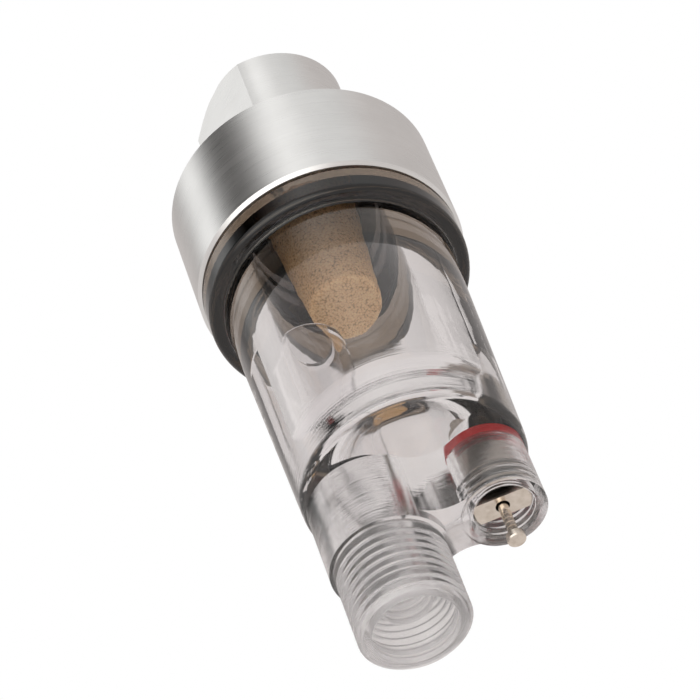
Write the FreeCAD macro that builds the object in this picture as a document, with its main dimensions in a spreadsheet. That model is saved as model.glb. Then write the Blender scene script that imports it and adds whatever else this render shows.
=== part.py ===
import FreeCAD, Part
import math
import os
import Sketcher
from FreeCAD import Placement, Rotation, Vector

# An in-line moisture trap for compressed air, millimetres, +Z up.
# The origin is the centre of the mouth of the female port in the head, and Z is the axis of the
# head, the bowl and the filter element.  Names ending in _depth are measured down from the mouth.
# The hose thread stands at -X and the drain valve at +X, both pointing down.

SIZES = {
    # how far a cut runs past the surface it opens, and a pad into the body it joins
    "overcut": 1.0, "overlap": 0.5,
    # head
    "boss_radius": 7.1, "boss_chamfer": 1.5, "boss_depth": 14.1, "flat_distance": 5.5,
    "flat_turn": -138.0, "cap_radius": 12.2, "cap_edge": 0.35, "cap_depth": 25.5, "rim_edge": 0.3,
    "port_radius": 4.28, "port_groove": 0.58, "port_length": 9.5, "port_grooves": 8,
    "port_chamfer": 0.45,
    "passage_radius": 2.6, "cup_radius": 7.0, "cup_depth": 15.9,
    "spigot_bore": 9.88, "ceiling_depth": 18.0, "seal_pocket_radius": 11.5,
    "seal_pocket_depth": 24.35,
    # thread grooves, the shares are of the pitch, either side of the groove's middle
    "pipe_pitch": 0.907, "core_pitch": 0.705, "thread_mouth_share": 0.42,
    "thread_root_share": 0.09, "thread_overcut": 0.05,
    # filter element, its gasket and retaining ring
    "gasket_radius": 5.9, "gasket_hole": 3.0, "gasket_thickness": 0.5, "element_flange_radius": 6.0,
    "element_flange_thickness": 1.5, "element_root_radius": 4.55, "element_tip_radius": 3.4,
    "element_tip_depth": 32.3, "element_wall": 1.6, "element_round": 0.7,
    "retainer_thickness": 2.0, "retainer_hole": 4.9, "spanner_slot_width": 1.2,
    "spanner_slot_depth": 0.8,
    # bowl
    "spigot_radius": 9.8, "spigot_top_depth": 20.1, "spigot_chamfer": 0.4, "flange_radius": 11.9,
    "flange_top_depth": 25.75, "flange_bottom_depth": 28.7, "body_radius": 10.55,
    "body_end_radius": 9.85, "base_depth": 53.8, "cavity_radius": 6.8, "cavity_depth": 49.0,
    "floor_round": 2.0, "flange_round": 0.6, "flange_root_round": 0.4, "base_round": 0.8,
    "hose_offset": 4.4, "hose_boss_radius": 5.2, "hose_thread_start": 61.3, "hose_end_depth": 69.2,
    "hose_thread_radius": 4.865, "hose_groove": 0.58, "hose_grooves": 8, "hose_end_chamfer": 0.45,
    "hose_bore": 2.15, "hose_mouth_radius": 3.7, "hose_mouth_depth": 1.7, "hose_mouth_cone": 1.1,
    "riser_radius": 3.1, "riser_top_depth": 35.0,
    "drain_offset": 5.8, "drain_boss_radius": 3.65, "drain_end_depth": 60.8,
    "drain_thread_bore": 2.66, "drain_groove": 0.25, "drain_grooves": 4,
    "drain_seat_depth": 54.3, "drain_seat_top": 52.1, "drain_bore": 2.15, "drain_bore_top": 44.0,
    "drain_mouth_chamfer": 0.3, "web_end_depth": 60.4, "web_neck_radius": 4.0,
    "riser_round": 0.6,
    # bowl seal
    "seal_ring_radius": 10.6, "seal_section_radius": 0.68,
    # valve core
    "plug_radius": 2.58, "plug_groove": 0.22, "plug_end_depth": 60.0,
    "plug_thread_bottom": 59.3, "plug_grooves": 3,
    "plug_top_depth": 55.2, "plug_bore": 1.75, "bridge_thickness": 1.3, "bridge_width": 2.2,
    "bridge_hole": 0.62, "core_seal_radius": 2.40, "core_seal_top_radius": 2.17,
    "core_seal_bottom_depth": 54.2, "core_seal_top_depth": 52.8, "core_seal_hole": 1.55,
    "barrel_radius": 2.0, "barrel_top_depth": 48.0, "barrel_bore": 1.2, "barrel_seat_hole": 0.8,
    "barrel_shoulder_depth": 49.2, "collar_radius": 2.2, "barrel_chamfer": 0.3,
    "plug_chamfer": 0.15,
    # moving drain pin and its spring
    "pin_radius": 0.45, "pin_tip_depth": 64.2, "pin_head_radius": 0.8, "pin_head_height": 0.8,
    "pin_collar_radius": 0.95, "pin_collar_depth": 54.0, "pin_collar_height": 0.4,
    "pin_top_depth": 46.4, "pin_groove_depth": 0.07, "pin_groove_width": 0.16,
    "pin_grooves": 5, "pin_groove_start": 0.55, "pin_groove_step": 0.5, "pin_head_edge": 0.1,
    "pin_head_cone": 0.15,
    "cup_seal_radius": 1.4, "cup_seal_thickness": 0.6, "cup_seal_gap": 0.02,
    "valve_cup_radius": 1.5, "valve_cup_height": 0.9, "valve_cup_lip": 0.4, "valve_cup_crown": 0.3,
    "valve_cup_inner": 1.4, "spring_radius": 0.82, "spring_wire": 0.12, "spring_gap": 0.02,
    "spring_turns": 6.0,
}

doc = FreeCAD.newDocument("AirFilter")
sheet = doc.addObject("Spreadsheet::Sheet", "Size")
for row, (alias, number) in enumerate(SIZES.items(), start=1):
    sheet.set(f"A{row}", alias)
    sheet.set(f"B{row}", str(number))
    sheet.setAlias(f"B{row}", alias)
doc.recompute()

SUB_PARTS = []


def cells(text):
    """An expression with each size's name turned into a reference to its cell."""
    words = text.split(" ")
    signs = ("-" if w.startswith("-") and w[1:] in SIZES else "" for w in words)
    return " ".join(s + "Size." + w.lstrip("-") if w.lstrip("-") in SIZES else w
                    for s, w in zip(signs, words))


def new_body(label):
    """A PartDesign body whose label names its file."""
    body = doc.addObject("PartDesign::Body", "Body_" + label)
    body.Label = label
    body.Placement = Placement(Vector(0, 0, 0), Rotation())
    SUB_PARTS.append(body)
    return body


def plane(body, role):
    return next(item for item in body.Origin.OriginFeatures if item.Role == role)


def new_sketch(body, name, role="XZ_Plane", across="0", height="0"):
    """An empty sketch on one of the body's planes, shifted across it and off it."""
    sketch = body.newObject("Sketcher::SketchObject", name)
    sketch.AttachmentSupport = [(plane(body, role), "")]
    sketch.MapMode = "FlatFace"
    sketch.setExpression(".AttachmentOffset.Base.x", cells(across))
    sketch.setExpression(".AttachmentOffset.Base.z", cells(height))
    return sketch


def pin_down(sketch, edge, point, across, along, name, start=1.0):
    """Ties one end of an edge to its distances from the sketch's origin."""
    for kind, axis, text in (("DistanceX", -2, across), ("DistanceY", -1, along)):
        if text == "0":
            sketch.addConstraint(Sketcher.Constraint("PointOnObject", edge, point, axis))
            continue
        index = sketch.addConstraint(Sketcher.Constraint(kind, -1, 1, edge, point, start))
        sketch.renameConstraint(index, kind + name)
        sketch.setExpression(f".Constraints.{kind}{name}", cells(text))


def polygon(body, name, corners, role="XZ_Plane", across="0", height="0"):
    """A closed sketch of straight edges through corners given as pairs of expressions."""
    sketch = new_sketch(body, name, role, across, height)
    count = len(corners)
    start = [Vector(20 + 5 * math.cos(2 * math.pi * i / count),
                    5 * math.sin(2 * math.pi * i / count), 0) for i in range(count)]
    for i in range(count):
        sketch.addGeometry(Part.LineSegment(start[i], start[(i + 1) % count]), False)
    for i in range(count):
        sketch.addConstraint(Sketcher.Constraint("Coincident", i, 2, (i + 1) % count, 1))
    for i, (across_text, along_text) in enumerate(corners):
        pin_down(sketch, i, 1, across_text, along_text, str(i))
    return sketch


def circle(body, name, radius, across="0", height="0"):
    """A sketch of one circle in a horizontal plane."""
    sketch = new_sketch(body, name, "XY_Plane", across, height)
    sketch.addGeometry(Part.Circle(Vector(0, 0, 0), Vector(0, 0, 1), 1.0), False)
    sketch.addConstraint(Sketcher.Constraint("Coincident", 0, 3, -1, 1))
    index = sketch.addConstraint(Sketcher.Constraint("Radius", 0, 1.0))
    sketch.renameConstraint(index, "Radius")
    sketch.setExpression(".Constraints.Radius", cells(radius))
    return sketch


def turn(body, name, corners, across="0", cut=False):
    """Revolves a profile of (radius, height) corners about a vertical axis, adding or cutting."""
    profile = polygon(body, name + "Profile", corners, across=across)
    kind = "PartDesign::Groove" if cut else "PartDesign::Revolution"
    before = body.Tip.Shape.Volume if cut else 0.0
    feature = body.newObject(kind, name)
    feature.Profile = profile
    feature.ReferenceAxis = (profile, ["V_Axis"])
    feature.Angle = 360
    doc.recompute()
    if cut and feature.Shape.Volume > before - 1e-4:
        raise RuntimeError(name + " cut nothing")
    return feature


def extrude(body, name, sketch, length, cut=False, reverse=False, midplane=False):
    """Pads or pockets a sketch along its normal."""
    before = body.Tip.Shape.Volume if cut else 0.0
    feature = body.newObject("PartDesign::Pocket" if cut else "PartDesign::Pad", name)
    feature.Profile = sketch
    feature.setExpression("Length", cells(length))
    feature.Reversed = reverse
    if midplane:
        feature.SideType = "Symmetric"
    doc.recompute()
    if cut and feature.Shape.Volume > before - 1e-4:
        raise RuntimeError(name + " cut nothing")
    return feature


def repeat_upwards(body, name, feature, step, count):
    """Repeats a cut up the body a number of times, one step apart."""
    one_cut = feature.Shape.Volume
    row = body.newObject("PartDesign::LinearPattern", name)
    row.Originals = [feature]
    row.Direction = (plane(body, "Z_Axis"), [""])
    row.setExpression("Length", cells(f"{step} * ( {count} - 1 )"))
    row.setExpression("Occurrences", cells(count))
    body.Tip = row
    doc.recompute()
    if row.Shape.Volume > one_cut - 1e-4:
        raise RuntimeError(name + " cut nothing")


def thread(body, name, radius, groove, pitch, first, count, across="0", inside=False):
    """Cuts a row of thread grooves, one pitch apart, upwards from the first one's height."""
    deep, proud = (f"+ {groove}", "- thread_overcut") if inside else (f"- {groove}", "+ thread_overcut")
    half_mouth, half_root = f"thread_mouth_share * {pitch}", f"thread_root_share * {pitch}"
    notch = turn(body, name + "Groove", [
        (f"{radius} {proud}", f"{first} - {half_mouth}"),
        (f"{radius} {deep}", f"{first} - {half_root}"),
        (f"{radius} {deep}", f"{first} + {half_root}"),
        (f"{radius} {proud}", f"{first} + {half_mouth}"),
    ], across=across, cut=True)
    repeat_upwards(body, name, notch, pitch, count)


def round_edges(body, name, radius, rings):
    """Fillets the circular edges at the given (radius, height, x of the axis)."""
    base = body.Tip
    chosen = []
    for number, edge in enumerate(base.Shape.Edges, start=1):
        curve = edge.Curve
        if not isinstance(curve, Part.Circle):
            continue
        for ring_radius, height, axis_x in rings:
            near = (abs(curve.Radius - ring_radius) < 0.02 and abs(curve.Center.z - height) < 0.02
                    and abs(curve.Center.x - axis_x) < 0.02)
            if near:
                chosen.append(f"Edge{number}")
    if not chosen:
        raise RuntimeError(name + " found no edge")
    feature = body.newObject("PartDesign::Fillet", name)
    feature.Base = (base, sorted(set(chosen)))
    feature.setExpression("Radius", cells(radius))
    doc.recompute()
    return feature


def ring_corners(inner, outer, bottom, top):
    return [(inner, bottom), (outer, bottom), (outer, top), (inner, top)]


def make_head():
    """Turned aluminium head: threaded boss with two spanner flats, over a wide cap."""
    body = new_body("head")
    turn(body, "HeadTurning", [
        ("port_radius + port_chamfer", "0"),
        ("boss_radius - boss_chamfer", "0"),
        ("boss_radius", "-boss_chamfer"),
        ("boss_radius", "-boss_depth"),
        ("cap_radius - cap_edge", "-boss_depth"),
        ("cap_radius", "-boss_depth - cap_edge"),
        ("cap_radius", "-cap_depth + rim_edge"),
        ("cap_radius - rim_edge", "-cap_depth"),
        ("seal_pocket_radius", "-cap_depth"),
        ("seal_pocket_radius", "-seal_pocket_depth"),
        ("spigot_bore", "-seal_pocket_depth"),
        ("spigot_bore", "-ceiling_depth"),
        ("cup_radius", "-ceiling_depth"),
        ("cup_radius", "-cup_depth"),
        ("passage_radius", "-cup_depth"),
        ("passage_radius", "-port_length - port_chamfer"),
        ("port_radius", "-port_length"),
        ("port_radius", "-port_chamfer"),
    ])
    for side, sign in (("Near", "-"), ("Far", "")):
        corners = [(f"{sign}flat_distance", "-boss_radius - overcut"),
                   (f"{sign}flat_distance + {sign}boss_radius", "-boss_radius - overcut"),
                   (f"{sign}flat_distance + {sign}boss_radius", "boss_radius + overcut"),
                   (f"{sign}flat_distance", "boss_radius + overcut")]
        outline = polygon(body, f"{side}FlatOutline", corners, "XY_Plane", height="overcut")
        outline.setExpression(".AttachmentOffset.Rotation.Angle", "Size.flat_turn")
        extrude(body, f"{side}Flat", outline, "boss_depth + overcut", cut=True)
    thread(body, "PortThread", "port_radius", "port_groove", "pipe_pitch",
           "-port_length + pipe_pitch", "port_grooves", inside=True)


def make_element():
    """Sintered bronze cup with a flange, its gasket and the threaded ring that holds it."""
    gasket = new_body("element_gasket")
    gasket_bottom = "-cup_depth - gasket_thickness"
    turn(gasket, "GasketRing",
         ring_corners("gasket_hole", "gasket_radius", gasket_bottom, "-cup_depth"))

    element = new_body("filter_element")
    flange_bottom = f"{gasket_bottom} - element_flange_thickness"
    turn(element, "ElementCup", [
        ("element_root_radius - element_wall", gasket_bottom),
        ("element_flange_radius", gasket_bottom),
        ("element_flange_radius", flange_bottom),
        ("element_root_radius", flange_bottom),
        ("element_tip_radius", "-element_tip_depth"),
        ("0", "-element_tip_depth"),
        ("0", "-element_tip_depth + element_wall"),
        ("element_tip_radius - element_wall", "-element_tip_depth + element_wall"),
    ])
    tip = (SIZES["element_tip_radius"], -SIZES["element_tip_depth"], 0.0)
    round_edges(element, "TipRound", "element_round", [tip])

    retainer = new_body("element_retainer")
    retainer_bottom = f"{flange_bottom} - retainer_thickness"
    turn(retainer, "RetainerRing",
         ring_corners("retainer_hole", "cup_radius", retainer_bottom, flange_bottom))
    half = "spanner_slot_width / 2"
    corners = [("-cup_radius - overcut", f"0 - {half}"), ("cup_radius + overcut", f"0 - {half}"),
               ("cup_radius + overcut", half), ("-cup_radius - overcut", half)]
    slot = polygon(retainer, "SpannerSlotOutline", corners, "XY_Plane", height=retainer_bottom)
    extrude(retainer, "SpannerSlot", slot, "spanner_slot_depth", cut=True, reverse=True)


def web_outline(body):
    """The waisted outline round the hose boss and the drain boss, four tangent arcs."""
    left, right = -SIZES["hose_offset"], SIZES["drain_offset"]
    big, small, neck = (SIZES[n] for n in ("hose_boss_radius", "drain_boss_radius",
                                           "web_neck_radius"))
    gap = right - left
    along = ((big + neck) ** 2 - (small + neck) ** 2 + gap ** 2) / (2 * gap)
    side = math.sqrt((big + neck) ** 2 - along ** 2)
    lean_big = math.atan2(side, along)
    lean_small = math.atan2(side, along - gap)
    neck_x = left + along
    up = Vector(0, 0, 1)

    def arc(centre_x, centre_y, radius, first, last):
        whole = Part.Circle(Vector(centre_x, centre_y, 0), up, radius)
        return Part.ArcOfCircle(whole, first, last)

    sketch = new_sketch(body, "WebOutline", "XY_Plane", height="-web_end_depth")
    sketch.addGeometry([
        arc(left, 0, big, lean_big, 2 * math.pi - lean_big),
        arc(neck_x, -side, neck, math.pi - lean_small, math.pi - lean_big),
        arc(right, 0, small, -lean_small, lean_small),
        arc(neck_x, side, neck, math.pi + lean_big, math.pi + lean_small),
    ], False)
    joins = ((0, 2, 1, 2), (1, 1, 2, 1), (2, 2, 3, 2), (3, 1, 0, 1))
    for first, first_end, second, second_end in joins:
        sketch.addConstraint(
            Sketcher.Constraint("Tangent", first, first_end, second, second_end))
    pin_down(sketch, 0, 3, "-hose_offset", "0", "Hose", start=left)
    pin_down(sketch, 2, 3, "drain_offset", "0", "Drain", start=right)
    for arc_number, alias in ((0, "hose_boss_radius"), (2, "drain_boss_radius"),
                              (1, "web_neck_radius"), (3, "web_neck_radius")):
        index = sketch.addConstraint(Sketcher.Constraint("Radius", arc_number, SIZES[alias]))
        sketch.renameConstraint(index, f"Radius{arc_number}")
        sketch.setExpression(f".Constraints.Radius{arc_number}", cells(alias))
    return sketch


def make_bowl():
    """Clear moulded bowl with the riser, the threaded hose boss and the drain boss."""
    body = new_body("bowl")
    turn(body, "BowlOutside", [
        ("0", "-spigot_top_depth"),
        ("spigot_radius - spigot_chamfer", "-spigot_top_depth"),
        ("spigot_radius", "-spigot_top_depth - spigot_chamfer"),
        ("spigot_radius", "-flange_top_depth"),
        ("flange_radius", "-flange_top_depth"),
        ("flange_radius", "-flange_bottom_depth"),
        ("body_radius", "-flange_bottom_depth"),
        ("body_end_radius", "-base_depth"),
        ("0", "-base_depth"),
    ])
    flange, lower = SIZES["flange_radius"], -SIZES["flange_bottom_depth"]
    round_edges(body, "FlangeRound", "flange_round", [(flange, lower, 0.0)])
    round_edges(body, "FlangeRootRound", "flange_root_round",
                [(SIZES["body_radius"], lower, 0.0)])
    round_edges(body, "FlangeTopRound", "flange_round / 3",
                [(flange, -SIZES["flange_top_depth"], 0.0)])
    round_edges(body, "BaseRound", "base_round",
                [(SIZES["body_end_radius"], -SIZES["base_depth"], 0.0)])

    extrude(body, "Web", web_outline(body), "web_end_depth - base_depth + base_round + overlap")
    hose_axis, drain_axis = "-hose_offset", "drain_offset"
    boss = circle(body, "HoseBossCircle", "hose_boss_radius", hose_axis, "-hose_thread_start")
    extrude(body, "HoseBoss", boss, "hose_thread_start - base_depth + base_round + overlap")
    shank = circle(body, "HoseShankCircle", "hose_thread_radius", hose_axis, "-hose_end_depth")
    extrude(body, "HoseShank", shank, "hose_end_depth - hose_thread_start + overcut")
    drain = circle(body, "DrainBossCircle", "drain_boss_radius", drain_axis, "-drain_end_depth")
    extrude(body, "DrainBoss", drain, "drain_end_depth - base_depth + base_round + overlap")

    turn(body, "Cavity", [
        ("0", "-spigot_top_depth + overcut"),
        ("cavity_radius", "-spigot_top_depth + overcut"),
        ("cavity_radius", "-cavity_depth"),
        ("0", "-cavity_depth"),
    ], cut=True)
    round_edges(body, "FloorRound", "floor_round",
                [(SIZES["cavity_radius"], -SIZES["cavity_depth"], 0.0)])
    riser = circle(body, "RiserCircle", "riser_radius", hose_axis, "-cavity_depth - overcut")
    extrude(body, "Riser", riser, "cavity_depth - riser_top_depth + overcut")
    round_edges(body, "RiserTopRound", "riser_round",
                [(SIZES["riser_radius"], -SIZES["riser_top_depth"], -SIZES["hose_offset"])])
    turn(body, "HosePassage", [
        ("0", "-riser_top_depth + overcut"),
        ("hose_bore", "-riser_top_depth + overcut"),
        ("hose_bore", "-hose_end_depth + hose_mouth_depth + hose_mouth_cone"),
        ("hose_mouth_radius", "-hose_end_depth + hose_mouth_depth"),
        ("hose_mouth_radius", "-hose_end_depth - overcut"),
        ("0", "-hose_end_depth - overcut"),
    ], across=hose_axis, cut=True)
    turn(body, "DrainPassage", [
        ("0", "-drain_bore_top"),
        ("drain_bore", "-drain_bore_top"),
        ("drain_bore", "-drain_seat_top"),
        ("drain_thread_bore", "-drain_seat_depth"),
        ("drain_thread_bore", "-drain_end_depth + drain_mouth_chamfer"),
        ("drain_thread_bore + drain_mouth_chamfer", "-drain_end_depth"),
        ("drain_thread_bore + drain_mouth_chamfer", "-drain_end_depth - overcut"),
        ("0", "-drain_end_depth - overcut"),
    ], across=drain_axis, cut=True)
    turn(body, "HoseEndChamfer", [
        ("hose_thread_radius - hose_end_chamfer", "-hose_end_depth"),
        ("hose_thread_radius + overcut", "-hose_end_depth"),
        ("hose_thread_radius + overcut", "-hose_end_depth + hose_end_chamfer + overcut"),
    ], across=hose_axis, cut=True)
    thread(body, "HoseThread", "hose_thread_radius", "hose_groove", "pipe_pitch",
           "-hose_end_depth + pipe_pitch", "hose_grooves", hose_axis)
    thread(body, "DrainThread", "drain_thread_bore", "drain_groove", "core_pitch",
           "-drain_end_depth + core_pitch", "drain_grooves", drain_axis, inside=True)


def make_bowl_seal():
    """Rubber ring between the bowl's flange and the head."""
    body = new_body("bowl_seal")
    ring = body.newObject("PartDesign::AdditiveTorus", "SealRing")
    ring.setExpression("Radius1", cells("seal_ring_radius"))
    ring.setExpression("Radius2", cells("seal_section_radius"))
    ring.AttachmentSupport = [(plane(body, "XY_Plane"), "")]
    ring.MapMode = "FlatFace"
    middle = "0 - ( flange_top_depth + seal_pocket_depth ) / 2"
    ring.setExpression(".AttachmentOffset.Base.z", cells(middle))
    doc.recompute()


def make_valve_plug():
    """Threaded plug of the drain valve, with the bridge that guides the pin."""
    body = new_body("valve_plug")
    axis = "drain_offset"
    turn(body, "PlugTurning", [
        ("bridge_hole", "-plug_end_depth"),
        ("plug_radius - plug_chamfer", "-plug_end_depth"),
        ("plug_radius", "-plug_end_depth + plug_chamfer"),
        ("plug_radius", "-plug_top_depth"),
        ("plug_bore", "-plug_top_depth"),
        ("plug_bore", "-plug_end_depth + bridge_thickness"),
        ("bridge_hole", "-plug_end_depth + bridge_thickness"),
    ], across=axis)
    for side, sign in (("Front", "-"), ("Back", "")):
        inner, outer = f"{sign}bridge_width / 2", f"{sign}plug_radius + {sign}overcut"
        corners = [("-plug_radius - overcut", inner), ("plug_radius + overcut", inner),
                   ("plug_radius + overcut", outer), ("-plug_radius - overcut", outer)]
        outline = polygon(body, f"{side}WindowOutline", corners, "XY_Plane", axis,
                          "-plug_end_depth - overlap")
        extrude(body, f"{side}Window", outline, "bridge_thickness + overlap", cut=True, reverse=True)
    thread(body, "PlugThread", "plug_radius", "plug_groove", "core_pitch",
           "-plug_thread_bottom", "plug_grooves", axis)


def make_valve_barrel():
    """Fixed barrel above the plug, and the seal ring that seats it in the bowl."""
    axis = "drain_offset"
    barrel = new_body("valve_barrel")
    turn(barrel, "BarrelTurning", [
        ("barrel_bore", "-plug_top_depth"),
        ("collar_radius", "-plug_top_depth"),
        ("collar_radius", "-core_seal_bottom_depth"),
        ("core_seal_hole", "-core_seal_bottom_depth"),
        ("core_seal_hole", "-core_seal_top_depth"),
        ("barrel_radius", "-core_seal_top_depth"),
        ("barrel_radius", "-barrel_top_depth - barrel_chamfer"),
        ("barrel_radius - barrel_chamfer", "-barrel_top_depth"),
        ("barrel_seat_hole", "-barrel_top_depth"),
        ("barrel_seat_hole", "-barrel_shoulder_depth"),
        ("barrel_bore", "-barrel_shoulder_depth"),
    ], across=axis)
    seal = new_body("valve_seal_ring")
    turn(seal, "SeatSeal", [
        ("core_seal_hole", "-core_seal_bottom_depth"),
        ("core_seal_radius", "-core_seal_bottom_depth"),
        ("core_seal_top_radius", "-core_seal_top_depth"),
        ("core_seal_hole", "-core_seal_top_depth"),
    ], across=axis)


def make_valve_pin():
    """Push pin with a flat head, and the cup and rubber disc that it lifts off the barrel."""
    axis = "drain_offset"
    collar_top = "-pin_collar_depth"
    pin = new_body("valve_pin")
    turn(pin, "PinTurning", [
        ("0", "-pin_tip_depth"),
        ("pin_head_radius - pin_head_edge", "-pin_tip_depth"),
        ("pin_head_radius", "-pin_tip_depth + pin_head_edge"),
        ("pin_head_radius", "-pin_tip_depth + pin_head_height - pin_head_cone"),
        ("pin_radius", "-pin_tip_depth + pin_head_height"),
        ("pin_radius", f"{collar_top} - pin_collar_height"),
        ("pin_collar_radius", f"{collar_top} - pin_collar_height"),
        ("pin_collar_radius", collar_top),
        ("pin_radius", collar_top),
        ("pin_radius", "-pin_top_depth"),
        ("0", "-pin_top_depth"),
    ], across=axis)
    grip = "-pin_tip_depth + pin_head_height + pin_groove_start"
    first = turn(pin, "GripGroove", [
        ("pin_radius - pin_groove_depth", f"{grip} + pin_groove_width / 2"),
        ("pin_radius + pin_groove_depth", grip),
        ("pin_radius + pin_groove_depth", f"{grip} + pin_groove_width"),
    ], across=axis, cut=True)
    repeat_upwards(pin, "GripGrooves", first, "pin_groove_step", "pin_grooves")

    disc_bottom = "-barrel_top_depth + cup_seal_gap"
    disc_top = f"{disc_bottom} + cup_seal_thickness"
    disc = new_body("valve_cup_seal")
    turn(disc, "SealDisc",
         ring_corners("pin_radius", "cup_seal_radius", disc_bottom, disc_top), across=axis)

    cup = new_body("valve_cup")
    turn(cup, "CupTurning", [
        ("pin_radius", disc_top),
        ("valve_cup_inner", disc_top),
        ("valve_cup_inner", f"{disc_top} - valve_cup_lip"),
        ("valve_cup_radius", f"{disc_top} - valve_cup_lip"),
        ("valve_cup_radius", f"{disc_bottom} + valve_cup_height"),
        ("pin_radius + valve_cup_crown", f"{disc_bottom} + valve_cup_height + valve_cup_crown"),
        ("pin_radius", f"{disc_bottom} + valve_cup_height + valve_cup_crown"),
    ], across=axis)


def make_valve_spring():
    """Compression spring between the barrel's shoulder and the pin's collar."""
    wire, radius, gap = sheet.spring_wire, sheet.spring_radius, sheet.spring_gap
    low = -sheet.pin_collar_depth + wire + gap
    high = -sheet.barrel_shoulder_depth - wire - gap
    pitch = (high - low) / sheet.spring_turns
    coil = Part.makeHelix(pitch, high - low, radius)
    section = Part.Wire(Part.makeCircle(wire, Vector(radius, 0, 0), Vector(0, 1, 0)))
    solid = Part.Wire(coil.Edges).makePipeShell([section], True, True)
    spring = doc.addObject("Part::Feature", "Spring")
    spring.Label = "valve_spring"
    spring.Shape = solid
    spring.Placement = Placement(Vector(sheet.drain_offset, 0, low), Rotation())
    SUB_PARTS.append(spring)


make_head()
make_element()
make_bowl()
make_bowl_seal()
make_valve_plug()
make_valve_barrel()
make_valve_pin()
make_valve_spring()
doc.recompute()

for item in doc.Objects:
    if "Invalid" in item.State or "Error" in item.State:
        raise RuntimeError(f"{item.Name} failed: {item.State}")
os.makedirs("parts", exist_ok=True)
for part in SUB_PARTS:
    shape = part.Shape
    if shape.isNull() or not shape.isValid() or len(shape.Solids) != 1:
        raise RuntimeError(part.Label + " is not one valid solid")
    shape.exportStep(f"parts/{part.Label}.step")
    print(f"{part.Label}: {shape.Volume:.1f} mm3, {len(shape.Faces)} faces")
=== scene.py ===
import math

import bmesh
import bpy
import numpy as np
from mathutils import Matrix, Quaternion, Vector
from mathutils import noise as noise3


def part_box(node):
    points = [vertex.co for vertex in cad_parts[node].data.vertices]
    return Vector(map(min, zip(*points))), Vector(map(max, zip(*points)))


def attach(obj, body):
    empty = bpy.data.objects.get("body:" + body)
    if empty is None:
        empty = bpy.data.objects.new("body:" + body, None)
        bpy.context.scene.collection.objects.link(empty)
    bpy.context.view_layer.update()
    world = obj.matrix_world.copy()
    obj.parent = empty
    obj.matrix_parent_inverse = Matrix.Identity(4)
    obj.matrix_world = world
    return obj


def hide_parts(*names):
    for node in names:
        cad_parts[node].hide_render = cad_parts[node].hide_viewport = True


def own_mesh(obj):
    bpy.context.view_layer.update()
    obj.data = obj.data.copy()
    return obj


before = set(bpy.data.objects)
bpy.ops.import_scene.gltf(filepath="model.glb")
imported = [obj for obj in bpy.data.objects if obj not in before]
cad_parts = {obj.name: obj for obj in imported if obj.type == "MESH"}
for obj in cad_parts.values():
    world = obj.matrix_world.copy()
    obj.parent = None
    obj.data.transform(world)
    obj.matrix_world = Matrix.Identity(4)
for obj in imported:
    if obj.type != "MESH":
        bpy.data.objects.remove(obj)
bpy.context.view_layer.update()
MM = 0.001


# ---------------------------------------------------------------- node helpers

def new_material(name):
    """An empty node material, its Principled shader and its node tree."""
    material = bpy.data.materials.new(name)
    material.use_nodes = True
    tree = material.node_tree
    tree.nodes.clear()
    output = tree.nodes.new("ShaderNodeOutputMaterial")
    shader = tree.nodes.new("ShaderNodeBsdfPrincipled")
    tree.links.new(shader.outputs["BSDF"], output.inputs["Surface"])
    return material, shader, tree


def place(tree, scale=(1, 1, 1)):
    """Object coordinates in metres, stretched along each axis."""
    where = tree.nodes.new("ShaderNodeTexCoord")
    mapping = tree.nodes.new("ShaderNodeMapping")
    mapping.inputs["Scale"].default_value = scale
    tree.links.new(where.outputs["Object"], mapping.inputs["Vector"])
    return mapping.outputs["Vector"]


def noise(tree, vector, scale, detail=2.0, rough=0.5):
    """A noise texture's value."""
    node = tree.nodes.new("ShaderNodeTexNoise")
    node.inputs["Scale"].default_value = scale
    node.inputs["Detail"].default_value = detail
    node.inputs["Roughness"].default_value = rough
    tree.links.new(vector, node.inputs["Vector"])
    return node.outputs["Fac"]


def ramp(tree, value, stops):
    """A colour ramp through (place, colour) stops."""
    node = tree.nodes.new("ShaderNodeValToRGB")
    points = node.color_ramp.elements
    while len(points) < len(stops):
        points.new(0.5)
    for point, (where, colour) in zip(points, stops):
        point.position = where
        point.color = (*colour, 1.0)
    tree.links.new(value, node.inputs["Fac"])
    return node.outputs["Color"]


def remap(tree, value, low, high, start=0.0, end=1.0):
    """A value that runs from start to end, clamped and run from low to high."""
    node = tree.nodes.new("ShaderNodeMapRange")
    node.inputs["From Min"].default_value = start
    node.inputs["From Max"].default_value = end
    node.inputs["To Min"].default_value = low
    node.inputs["To Max"].default_value = high
    tree.links.new(value, node.inputs["Value"])
    return node.outputs["Result"]


def maths(tree, kind, first, second):
    """A maths node on two numbers or sockets."""
    node = tree.nodes.new("ShaderNodeMath")
    node.operation = kind
    for socket, item in zip(node.inputs, (first, second)):
        if isinstance(item, (int, float)):
            socket.default_value = item
        else:
            tree.links.new(item, socket)
    return node.outputs["Value"]


def bump(tree, shader, height, strength, distance):
    """Bumps a shader's surface by a height."""
    node = tree.nodes.new("ShaderNodeBump")
    node.inputs["Strength"].default_value = strength
    node.inputs["Distance"].default_value = distance
    tree.links.new(height, node.inputs["Height"])
    tree.links.new(node.outputs["Normal"], shader.inputs["Normal"])


def mixed(tree, factor, first, second):
    """Two colours or colour sockets, mixed by a factor."""
    node = tree.nodes.new("ShaderNodeMix")
    node.data_type = "RGBA"
    tree.links.new(factor, node.inputs["Factor"])
    for socket, item in ((node.inputs[6], first), (node.inputs[7], second)):
        if isinstance(item, tuple):
            socket.default_value = (*item, 1.0)
        else:
            tree.links.new(item, socket)
    return node.outputs[2]


def position(tree):
    """The X, Y and Z sockets of a point in metres, in the row frame."""
    where = tree.nodes.new("ShaderNodeTexCoord")
    split = tree.nodes.new("ShaderNodeSeparateXYZ")
    tree.links.new(where.outputs["Object"], split.inputs["Vector"])
    return split.outputs


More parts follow.
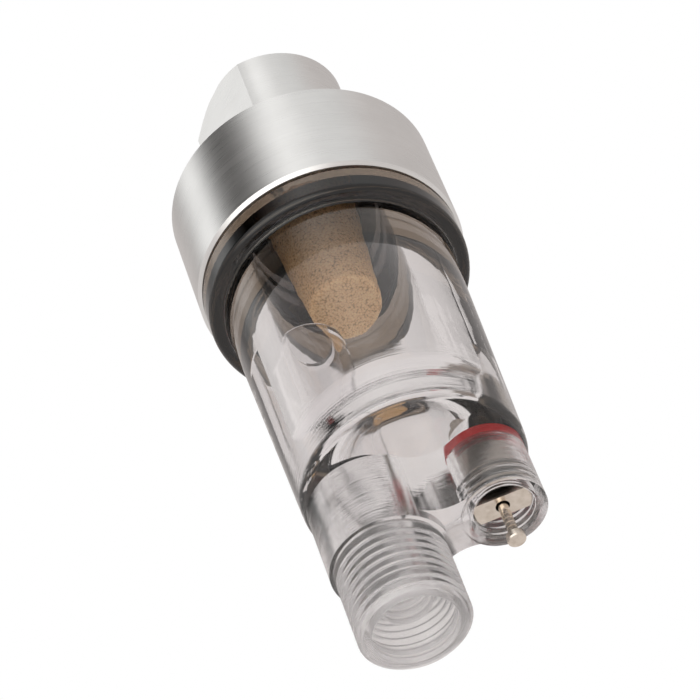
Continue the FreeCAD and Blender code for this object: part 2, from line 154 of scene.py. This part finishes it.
def height_band(tree, low, high, soft):
    """1 between two heights in metres and 0 outside, with soft ends."""
    height = position(tree)["Z"]
    rise = remap(tree, height, 0.0, 1.0, low - soft, low + soft)
    fall = remap(tree, height, 1.0, 0.0, high - soft, high + soft)
    return maths(tree, "MULTIPLY", rise, fall)


# ------------------------------------------------------------------- materials

CAP_WALL_RADIUS = 11.6 * MM
CAP_CEILING = -15.0 * MM
FLANGE_ROOT_RADIUS = 10.7 * MM
FLANGE_BAND = (-29.0 * MM, -24.0 * MM, 0.2 * MM)
THREAD_BAND = (-70.0 * MM, -61.3 * MM, 0.3 * MM)
BASE_BAND = (-61.3 * MM, -50.0 * MM, 3.0 * MM)
POLISHED, THREAD_HAZE, BASE_HAZE = 0.015, 0.16, 0.06
THREAD_MILK, BASE_MILK = 0.16, 0.03
DRAIN_AXIS_X = 5.8 * MM
PLUG_SHADE_RADIUS = 2.40 * MM
PLUG_END = -60.0 * MM
PLUG_SHADE_START = -59.7 * MM
PLUG_SHADE = 0.45
PLUG_TOP = -55.2 * MM
BRIDGE_TOP = -58.75 * MM


def inside_of(tree, axis_x, radius, ceiling):
    """1 nearer an upright axis than a radius and below a height, 0 elsewhere, in metres."""
    point = position(tree)
    across = maths(tree, "SUBTRACT", point["X"], axis_x)
    squares = (maths(tree, "POWER", side, 2.0) for side in (across, point["Y"]))
    near = maths(tree, "LESS_THAN", maths(tree, "ADD", *squares), radius ** 2)
    return maths(tree, "MULTIPLY", near, maths(tree, "LESS_THAN", point["Z"], ceiling))


def turned_aluminium(name, roughness):
    """Satin aluminium with fine turning lines round the axis, with painted shade inside the cap.
    """
    material, shader, tree = new_material(name)
    shader.inputs["Metallic"].default_value = 1.0
    shader.inputs["Anisotropic"].default_value = 0.5
    shader.inputs["Anisotropic Rotation"].default_value = 0.25
    tangent = tree.nodes.new("ShaderNodeTangent")
    tangent.direction_type = "RADIAL"
    tangent.axis = "Z"
    tree.links.new(tangent.outputs["Tangent"], shader.inputs["Tangent"])
    lines = noise(tree, place(tree, (120, 120, 9000)), 1.0, 3.0, 0.6)
    clouds = noise(tree, place(tree), 260.0, 4.0, 0.55)
    tone = ramp(tree, maths(tree, "MULTIPLY", lines, clouds),
                [(0.1, (0.80, 0.80, 0.79)), (0.45, (0.90, 0.90, 0.89))])
    # Painted shade: inside the cap wall and below its ceiling the aluminium is painted dark brown.
    shaded_hollow = inside_of(tree, 0.0, CAP_WALL_RADIUS, CAP_CEILING)
    tone = mixed(tree, shaded_hollow, tone, (0.060, 0.034, 0.018))
    tree.links.new(tone, shader.inputs["Base Color"])
    tree.links.new(remap(tree, lines, roughness - 0.05, roughness + 0.07),
                   shader.inputs["Roughness"])
    bump(tree, shader, lines, 0.10, 0.00003)
    return material


def clear_polycarbonate():
    """Clear moulded plastic: wavy, hazy low down and on the thread, with painted shade that tints
    the flange dark brown.
    """
    material, shader, tree = new_material("clear_polycarbonate")
    shader.inputs["IOR"].default_value = 1.58
    # Painted shade: the flange ring outside its root radius is tinted dark brown, for the shaded
    # hollow of the cap and the bronze seen through it.
    band = height_band(tree, *FLANGE_BAND)
    inner = inside_of(tree, 0.0, FLANGE_ROOT_RADIUS, 0.0)
    flange = maths(tree, "MULTIPLY", band, maths(tree, "SUBTRACT", 1.0, inner))
    tree.links.new(mixed(tree, flange, (0.985, 0.98, 0.985), (0.050, 0.030, 0.016)),
                   shader.inputs["Base Color"])
    thread = height_band(tree, *THREAD_BAND)
    base = height_band(tree, *BASE_BAND)
    haze = maths(tree, "ADD", maths(tree, "MULTIPLY", thread, THREAD_HAZE),
                 maths(tree, "MULTIPLY", base, BASE_HAZE))
    tree.links.new(maths(tree, "ADD", haze, POLISHED), shader.inputs["Roughness"])
    milk = maths(tree, "ADD", maths(tree, "MULTIPLY", thread, THREAD_MILK),
                 maths(tree, "MULTIPLY", base, BASE_MILK))
    tree.links.new(maths(tree, "SUBTRACT", 1.0, milk), shader.inputs["Transmission Weight"])
    waves = noise(tree, place(tree, (1, 1, 0.55)), 190.0, 3.0, 0.45)
    lines = noise(tree, place(tree, (60, 60, 6000)), 1.0, 2.0)
    height = maths(tree, "ADD", waves, maths(tree, "MULTIPLY", lines, base))
    bump(tree, shader, height, 0.12, 0.0004)
    return material


def sintered_bronze():
    """Fused bronze beads: tan grains, painted shade in the pits between them and a few bright
    sparkles.
    """
    material, shader, tree = new_material("sintered_bronze")
    beads = tree.nodes.new("ShaderNodeTexVoronoi")
    beads.inputs["Scale"].default_value = 5200.0
    tree.links.new(place(tree), beads.inputs["Vector"])
    patches = noise(tree, place(tree), 900.0, 4.0, 0.6)
    # Tone varies in random patches and is darker between the beads, as painted shade in the pits.
    level = maths(tree, "ADD", maths(tree, "MULTIPLY", beads.outputs["Distance"], 0.75),
                  maths(tree, "MULTIPLY", patches, 0.55))
    tone = ramp(tree, level, [(0.25, (1.0, 0.74, 0.40)), (0.52, (0.98, 0.66, 0.33)),
                              (0.75, (0.84, 0.50, 0.22)), (0.95, (0.50, 0.27, 0.10))])
    tree.links.new(tone, shader.inputs["Base Color"])
    sparkle = noise(tree, place(tree), 3600.0, 1.0)
    shader.inputs["Metallic"].default_value = 0.35
    tree.links.new(remap(tree, sparkle, 0.62, 0.28, 0.5, 0.75), shader.inputs["Roughness"])
    bump(tree, shader, level, 0.4, -0.00008)
    return material


def nickel():
    """Warm bright nickel with faint turning lines, shaded inside the drain."""
    material, shader, tree = new_material("nickel_plate")
    shader.inputs["Metallic"].default_value = 1.0
    lines = noise(tree, place(tree, (400, 400, 7000)), 1.0, 2.0)
    blotch = noise(tree, place(tree), 1200.0, 3.0)
    tone = ramp(tree, blotch, [(0.3, (0.70, 0.62, 0.53)), (0.7, (0.86, 0.78, 0.69))])
    shade = remap(tree, position(tree)["Z"], 1.0, PLUG_SHADE, PLUG_END, PLUG_SHADE_START)
    tone = mixed(tree, shade, (0.0, 0.0, 0.0), tone)
    # Painted shade: deep in the drain bore, above the bridge, the nickel is painted near black.
    shaded_hollow = inside_of(tree, DRAIN_AXIS_X, PLUG_SHADE_RADIUS, PLUG_TOP)
    above = maths(tree, "GREATER_THAN", position(tree)["Z"], BRIDGE_TOP)
    deep_shade = maths(tree, "MULTIPLY", shaded_hollow, above)
    tone = mixed(tree, deep_shade, tone, (0.02, 0.018, 0.015))
    tree.links.new(tone, shader.inputs["Base Color"])
    tree.links.new(remap(tree, lines, 0.12, 0.30), shader.inputs["Roughness"])
    bump(tree, shader, lines, 0.08, 0.00003)
    return material


def soft_material(name, dark, light, roughness, grain):
    """Rubber or plastic with a fine mottled skin."""
    material, shader, tree = new_material(name)
    skin = noise(tree, place(tree), grain, 3.0)
    tree.links.new(ramp(tree, skin, [(0.3, dark), (0.7, light)]), shader.inputs["Base Color"])
    tree.links.new(remap(tree, skin, roughness - 0.06, roughness + 0.08),
                   shader.inputs["Roughness"])
    bump(tree, shader, skin, 0.12, 0.00003)
    return material


def spring_steel():
    """Drawn grey wire."""
    material, shader, tree = new_material("spring_steel")
    shader.inputs["Metallic"].default_value = 1.0
    drawn = noise(tree, place(tree), 6000.0, 2.0)
    tree.links.new(ramp(tree, drawn, [(0.3, (0.45, 0.45, 0.46)), (0.7, (0.66, 0.66, 0.66))]),
                   shader.inputs["Base Color"])
    tree.links.new(remap(tree, drawn, 0.2, 0.38), shader.inputs["Roughness"])
    return material


def dress(node_name, material, sharp=30.0):
    """Gives a CAD node one material, smooth except across real edges."""
    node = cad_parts[node_name]
    mesh = node.data
    mesh.materials.clear()
    mesh.materials.append(material)
    mesh.polygons.foreach_set("material_index", np.zeros(len(mesh.polygons), np.int32))
    mesh.shade_smooth()
    mesh.set_sharp_from_angle(angle=math.radians(sharp))


def dress_all():
    metal = nickel()
    rubber = soft_material("seal_rubber", (0.004, 0.004, 0.004), (0.012, 0.012, 0.012), 0.3, 900.0)
    gasket = soft_material("gasket_rubber", (0.008, 0.008, 0.008), (0.02, 0.02, 0.02), 0.5, 900.0)
    nylon = soft_material("black_nylon", (0.006, 0.006, 0.006), (0.014, 0.013, 0.012), 0.4, 1200.0)
    dress("head", turned_aluminium("satin_aluminium", 0.28))
    dress("bowl", clear_polycarbonate(), 24.0)
    dress("element_retainer", nylon)
    dress("bowl_seal", rubber)
    dress("element_gasket", gasket)
    dress("valve_cup_seal", gasket)
    for name in ("valve_plug", "valve_barrel", "valve_pin", "valve_cup"):
        dress(name, metal)


# ---------------------------------------------------- filter element and red seal

BEAD_DEPTH = 0.06 * MM
BEADS_PER_METRE = 3400.0
RING_STEPS = 220
SKIN_STEP = 0.12 * MM
BEAD_STEEPNESS = 1.5
CUP_WALL = 1.6 * MM
CUP_ROOT_RADIUS = 4.55 * MM
CUP_TIP_RADIUS = 3.4 * MM
CUP_BEND = 0.7 * MM
CUP_FLANGE = 1.5 * MM
BEND_STEPS = 8
EDGE_ANGLE = math.radians(60)
SEAT_TOP_RADIUS = 2.31 * MM
SEAT_LOW_RADIUS = 2.64 * MM
SEAL_BORE = 1.56 * MM
SEAL_SQUEEZE = 0.07 * MM


def cup_section():
    """The outside and the inside of the cup as (radius, height), from the CAD node's box."""
    low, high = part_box("filter_element")
    under_flange = high.z - CUP_FLANGE
    quarter = [math.pi / 2 * step / BEND_STEPS for step in range(1, BEND_STEPS + 1)]
    outside = [(high.x, high.z), (high.x, under_flange), (CUP_ROOT_RADIUS, under_flange),
               (CUP_TIP_RADIUS, low.z + CUP_BEND)]
    outside += [(CUP_TIP_RADIUS - CUP_BEND * (1 - math.cos(angle)),
                 low.z + CUP_BEND * (1 - math.sin(angle))) for angle in quarter]
    outside.append((0.0, low.z))
    inside = [(0.0, low.z + CUP_WALL), (CUP_TIP_RADIUS - CUP_WALL, low.z + CUP_WALL),
              (CUP_ROOT_RADIUS - CUP_WALL, high.z)]
    return outside, inside


def finely(points, step):
    """The same outline with points no further apart than a step."""
    fine = [points[0]]
    for (r0, z0), (r1, z1) in zip(points, points[1:]):
        count = max(1, round(math.hypot(r1 - r0, z1 - z0) / step))
        fine += [(r0 + (r1 - r0) * i / count, z0 + (z1 - z0) * i / count)
                 for i in range(1, count + 1)]
    return fine


def inward_normals(outline):
    """For each point of an outline that runs down the outside, the direction into the wall."""
    normals = []
    for index in range(len(outline)):
        before, after = outline[max(0, index - 1)], outline[min(len(outline) - 1, index + 1)]
        across, down = after[0] - before[0], after[1] - before[1]
        size = math.hypot(across, down)
        normals.append((down / size, -across / size))
    return normals


def new_piece(name, verts, faces, material, body, node):
    """A mesh piece that rides on a body and stands for a CAD node."""
    mesh = bpy.data.meshes.new(name)
    mesh.from_pydata(verts, [], faces)
    shell = bmesh.new()
    shell.from_mesh(mesh)
    bmesh.ops.recalc_face_normals(shell, faces=shell.faces)
    shell.to_mesh(mesh)
    shell.free()
    mesh.shade_smooth()
    mesh.set_sharp_from_angle(angle=EDGE_ANGLE)
    mesh.materials.append(material)
    piece = bpy.data.objects.new(name, mesh)
    bpy.context.scene.collection.objects.link(piece)
    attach(piece, body)
    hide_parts(node)
    return piece


def lathe(name, section, centre_x, material, shaped, body, node):
    """Turns a closed (radius, height) section about an upright axis and puts it on a body."""
    verts, rings = [], []
    for number, (radius, height) in enumerate(section):
        ring = []
        for turn in range(RING_STEPS if radius > 0 else 1):
            angle = 2 * math.pi * turn / RING_STEPS
            spoke = Vector((math.cos(angle), math.sin(angle), 0.0))
            point = spoke * radius + Vector((centre_x, 0.0, height))
            ring.append(len(verts))
            verts.append(shaped(number, spoke, point) if radius > 0 else point)
        rings.append(ring)
    faces = []
    for first, second in zip(rings, rings[1:] + rings[:1]):
        for turn in range(RING_STEPS if len(first) + len(second) > 2 else 0):
            after = turn + 1
            corners = (first[turn % len(first)], first[after % len(first)],
                       second[after % len(second)], second[turn % len(second)])
            faces.append(tuple(dict.fromkeys(corners)))
    new_piece(name, verts, faces, material, body, node)


def add_filter_element(material):
    """The bronze cup as a fine lathe whose outside is pitted like fused beads."""
    outside, inside = cup_section()
    outer = finely(outside, SKIN_STEP)
    skin = inward_normals(outer)

    def pitted(number, spoke, point):
        if not 0 < number < len(outer):
            return point
        reach = noise3.voronoi(point * BEADS_PER_METRE)[0][0]
        into, rise = skin[number]
        depth = BEAD_DEPTH * min(1.0, BEAD_STEEPNESS * reach * reach)
        return point + (spoke * into + Vector((0.0, 0.0, rise))) * depth

    lathe("sintered_cup", outer + inside, 0.0, material, pitted,
          "head_assembly", "filter_element")


def add_squeezed_seal(material):
    """The red ring as it sits, pressed into the wall of its seat."""
    low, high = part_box("valve_seal_ring")
    middle = (low.x + high.x) / 2
    section = [(SEAL_BORE, high.z), (SEAT_TOP_RADIUS + SEAL_SQUEEZE, high.z),
               (SEAT_LOW_RADIUS + SEAL_SQUEEZE, low.z), (SEAL_BORE, low.z)]
    lathe("squeezed_seal", section, middle, material, lambda number, spoke, point: point,
          "bowl_assembly", "valve_seal_ring")


# ---------------------------------------------------------------- drain spring

SPRING_RADIUS = 0.82 * MM
SPRING_WIRE = 0.12 * MM
SPRING_TURNS = 6
TURN_STEPS = 48
WIRE_SIDES = 12


def add_valve_spring(material):
    """The drain pin's spring as a fixed helix; the real spring shortens towards the barrel as the
    pin is pressed.
    """
    low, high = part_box("valve_spring")
    middle = (low.x + high.x) / 2
    bottom, top = low.z + SPRING_WIRE, high.z - SPRING_WIRE
    steps = SPRING_TURNS * TURN_STEPS
    verts, faces = [], []
    for step in range(steps + 1):
        angle = 2 * math.pi * step / TURN_STEPS
        spoke = Vector((math.cos(angle), math.sin(angle), 0.0))
        height = bottom + (top - bottom) * step / steps
        for side in range(WIRE_SIDES):
            tilt = 2 * math.pi * side / WIRE_SIDES
            reach = SPRING_RADIUS + SPRING_WIRE * math.cos(tilt)
            centre = Vector((middle, 0.0, height + SPRING_WIRE * math.sin(tilt)))
            verts.append(centre + spoke * reach)
    for step in range(steps):
        first, second = step * WIRE_SIDES, (step + 1) * WIRE_SIDES
        for side in range(WIRE_SIDES):
            after = (side + 1) % WIRE_SIDES
            faces.append((first + side, second + side, second + after, first + after))
    faces.append(tuple(range(WIRE_SIDES)))
    faces.append(tuple(range(steps * WIRE_SIDES, (steps + 1) * WIRE_SIDES)))
    spring = new_piece("drain_spring", verts, faces, material,
                       "bowl_assembly", "valve_spring")
    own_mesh(spring)


# ----------------------------------------------------------------------- stage

AIM = Vector((-1.1, 0.0, -35.7)) * MM
VIEW_DISTANCE = 312.4 * MM
VIEW_RISE = math.radians(47.27)
VIEW_ROLL = math.radians(-21.65)
LENS = 185.2


def add_camera():
    """Looks up at the underside, from the side of the drain and the hose thread."""
    forward = Vector((0.0, math.cos(VIEW_RISE), math.sin(VIEW_RISE)))
    data = bpy.data.cameras.new("camera")
    data.lens = LENS
    data.sensor_width = 36.0
    data.clip_start = 0.01
    data.clip_end = 20.0
    camera = bpy.data.objects.new("camera", data)
    camera.rotation_mode = "QUATERNION"
    level = forward.to_track_quat("-Z", "Y")
    camera.rotation_quaternion = level @ Quaternion((0.0, 0.0, 1.0), VIEW_ROLL)
    camera.location = AIM - forward * VIEW_DISTANCE
    bpy.context.scene.collection.objects.link(camera)
    bpy.context.scene.camera = camera


def sky_patch(tree, direction, towards, inner, outer):
    """1 inside a cone about a direction and 0 outside a wider one, angles in degrees."""
    dot = tree.nodes.new("ShaderNodeVectorMath")
    dot.operation = "DOT_PRODUCT"
    tree.links.new(direction, dot.inputs[0])
    dot.inputs[1].default_value = Vector(towards).normalized()
    edge = tree.nodes.new("ShaderNodeMapRange")
    edge.interpolation_type = "SMOOTHSTEP"
    edge.inputs["From Min"].default_value = math.cos(math.radians(outer))
    edge.inputs["From Max"].default_value = math.cos(math.radians(inner))
    tree.links.new(dot.outputs["Value"], edge.inputs["Value"])
    return edge.outputs["Result"]


# Brightness of the boxes and flags that stand round the object, by heading in degrees from +X
# towards +Y.  Light that has passed through the plastic sees TABLE instead.
RING_OF_LIGHT = (
    (-180, 1.12), (-172, 0.92), (-160, 0.20), (-147, 0.0), (-132, 0.02), (-118, 0.22),
    (-105, 0.72), (-90, 1.10), (-76, 0.98), (-62, 0.77), (-34, 0.70), (-6, 0.59), (8, 0.56),
    (50, 0.54), (90, 0.57), (125, 0.60), (144, 0.44), (157, 0.52), (170, 1.05), (180, 1.12),
)
TABLE_TINT = (1.0, 0.935, 0.91)
LAMP_TINT = (1.0, 0.995, 0.985)
ROOM = (0.68, 0.645, 0.63)
TABLE = (0.70, 0.66, 0.645)
FILL = (1.7, 1.67, 1.62)
FILL_TOWARDS = (-0.3, -0.75, -0.55)
FILL_CONE = (15, 45)
BELT_BOTTOM = (0.40, 0.56)
BELT_TOP = (0.86, 0.95)


def ring_of_light(tree, direction):
    """The studio's colour for a direction that rises about as steeply as the view."""
    split = tree.nodes.new("ShaderNodeSeparateXYZ")
    tree.links.new(direction, split.inputs["Vector"])
    heading = maths(tree, "ARCTAN2", split.outputs["Y"], split.outputs["X"])
    stops = []
    for degrees, level in RING_OF_LIGHT:
        tint = LAMP_TINT if degrees < -20 or degrees > 150 else TABLE_TINT
        stops.append(((degrees + 180) / 360, tuple(level * part for part in tint)))
    return ramp(tree, remap(tree, heading, 0.0, 1.0, -math.pi, math.pi), stops)


def add_world():
    """White behind the object, plain through the plastic, and a studio for all other light."""
    world = bpy.data.worlds.new("studio")
    bpy.context.scene.world = world
    world.use_nodes = True
    tree = world.node_tree
    tree.nodes.clear()
    where = tree.nodes.new("ShaderNodeTexCoord")
    direction = where.outputs["Generated"]
    split = tree.nodes.new("ShaderNodeSeparateXYZ")
    tree.links.new(direction, split.inputs["Vector"])
    above = remap(tree, split.outputs["Z"], 0.0, 1.0, *BELT_BOTTOM)
    under = remap(tree, split.outputs["Z"], 1.0, 0.0, *BELT_TOP)
    belt = maths(tree, "MULTIPLY", above, under)
    colour = mixed(tree, belt, ROOM, ring_of_light(tree, direction))
    fill = sky_patch(tree, direction, FILL_TOWARDS, *FILL_CONE)
    colour = mixed(tree, fill, colour, FILL)
    seen = tree.nodes.new("ShaderNodeLightPath")
    colour = mixed(tree, seen.outputs["Is Transmission Ray"], colour, TABLE)
    studio = tree.nodes.new("ShaderNodeBackground")
    tree.links.new(colour, studio.inputs["Color"])
    white = tree.nodes.new("ShaderNodeBackground")
    white.inputs["Color"].default_value = (1.0, 1.0, 1.0, 1.0)
    choose = tree.nodes.new("ShaderNodeMixShader")
    tree.links.new(seen.outputs["Is Camera Ray"], choose.inputs["Fac"])
    tree.links.new(studio.outputs["Background"], choose.inputs[1])
    tree.links.new(white.outputs["Background"], choose.inputs[2])
    output = tree.nodes.new("ShaderNodeOutputWorld")
    tree.links.new(choose.outputs["Shader"], output.inputs["Surface"])


bpy.context.scene.view_settings.view_transform = "Standard"
dress_all()
add_filter_element(sintered_bronze())
add_squeezed_seal(soft_material("red_seal", (0.62, 0.012, 0.014), (0.78, 0.03, 0.03), 0.4, 1500.0))
add_valve_spring(spring_steel())
add_camera()
add_world()
